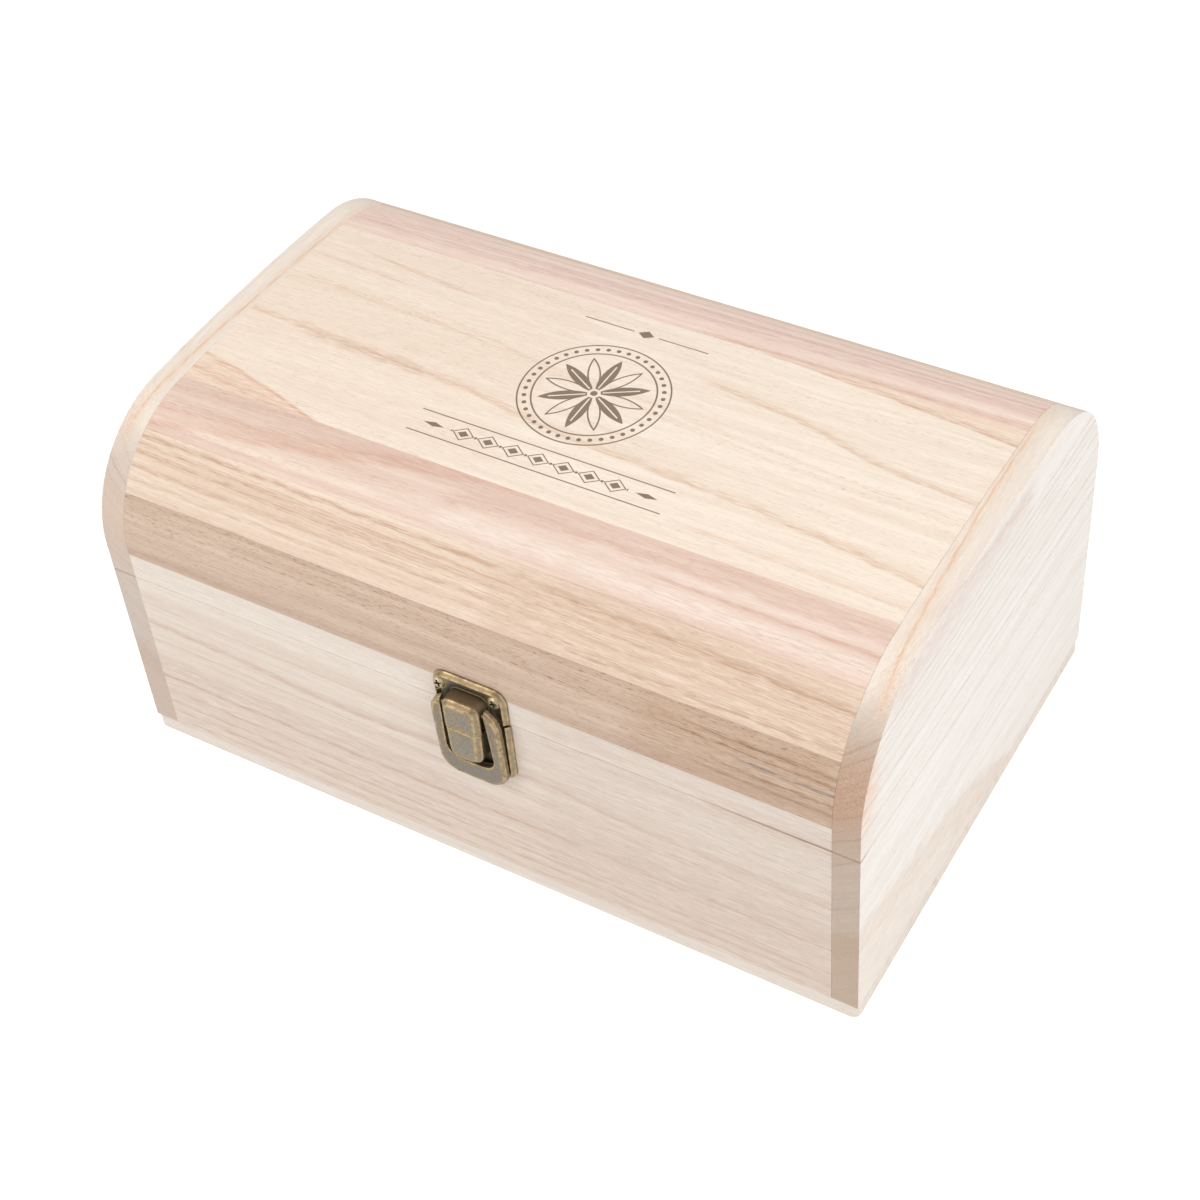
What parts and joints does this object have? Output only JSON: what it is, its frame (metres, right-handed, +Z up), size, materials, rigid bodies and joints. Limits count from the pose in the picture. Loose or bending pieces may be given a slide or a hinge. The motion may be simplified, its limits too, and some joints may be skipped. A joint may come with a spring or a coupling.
{
  "type": "arched keepsake box",
  "caption": "Light wooden keepsake box with an arched lid built of staves, arched end panels, an antique ring latch and stop hinges at the back.",
  "frame": {"origin": "middle of the box's underside", "axes": "+X to the right along the length, -Y out of the front with the latch, +Z up"},
  "size_m": [0.3, 0.2101, 0.145],
  "materials": {
    "front_wood": "bare sanded light wood",
    "pale_wood": "bare sanded light wood, nearly white",
    "tan_wood": "bare sanded wood, grey-tan",
    "cream_wood": "bare sanded wood, cream",
    "pink_wood": "bare sanded wood, pinkish",
    "antique_brass": "antique plated, bright worn edges",
    "dark_brass": "antique plated, darker"
  },
  "bodies": {
    "base": {"bottom_panel": "front_wood", "base_front_board": "front_wood", "base_back_board": "front_wood", "base_left_end": "pale_wood", "base_right_end": "pale_wood", "latch_lower_plate": "antique_brass", "latch_base_screws": "antique_brass", "left_hinge_base_leaf": "antique_brass", "left_hinge_pin": "dark_brass", "right_hinge_base_leaf": "antique_brass", "right_hinge_pin": "dark_brass", "hinge_base_screws": "antique_brass"},
    "lid": {"lid_front_rail": "front_wood", "lid_front_stave_1": "tan_wood", "lid_front_stave_2": "cream_wood", "lid_front_stave_3": "pink_wood", "lid_top_board": "cream_wood", "lid_back_stave_3": "pink_wood", "lid_back_stave_2": "cream_wood", "lid_back_stave_1": "tan_wood", "lid_back_rail": "front_wood", "lid_left_end": "pale_wood", "lid_right_end": "pale_wood", "latch_upper_plate": "antique_brass", "latch_lid_screws": "antique_brass", "left_hinge_lid_leaf": "antique_brass", "right_hinge_lid_leaf": "antique_brass", "hinge_lid_screws": "antique_brass"},
    "ring": {"latch_ring": "dark_brass", "latch_pin": "antique_brass"}
  },
  "joints": [
    {"name": "lid_hinge", "type": "hinge", "parent": "base", "child": "lid", "pos_m": [0, 0.0999, 0.085], "axis": [-1, 0, 0], "range_deg": [0, 105]},
    {"name": "latch_ring_swing", "type": "hinge", "parent": "base", "child": "ring", "pos_m": [0.0058, -0.1025, 0.0905], "axis": [-1, 0, 0], "range_deg": [0, 165]}
  ]
}
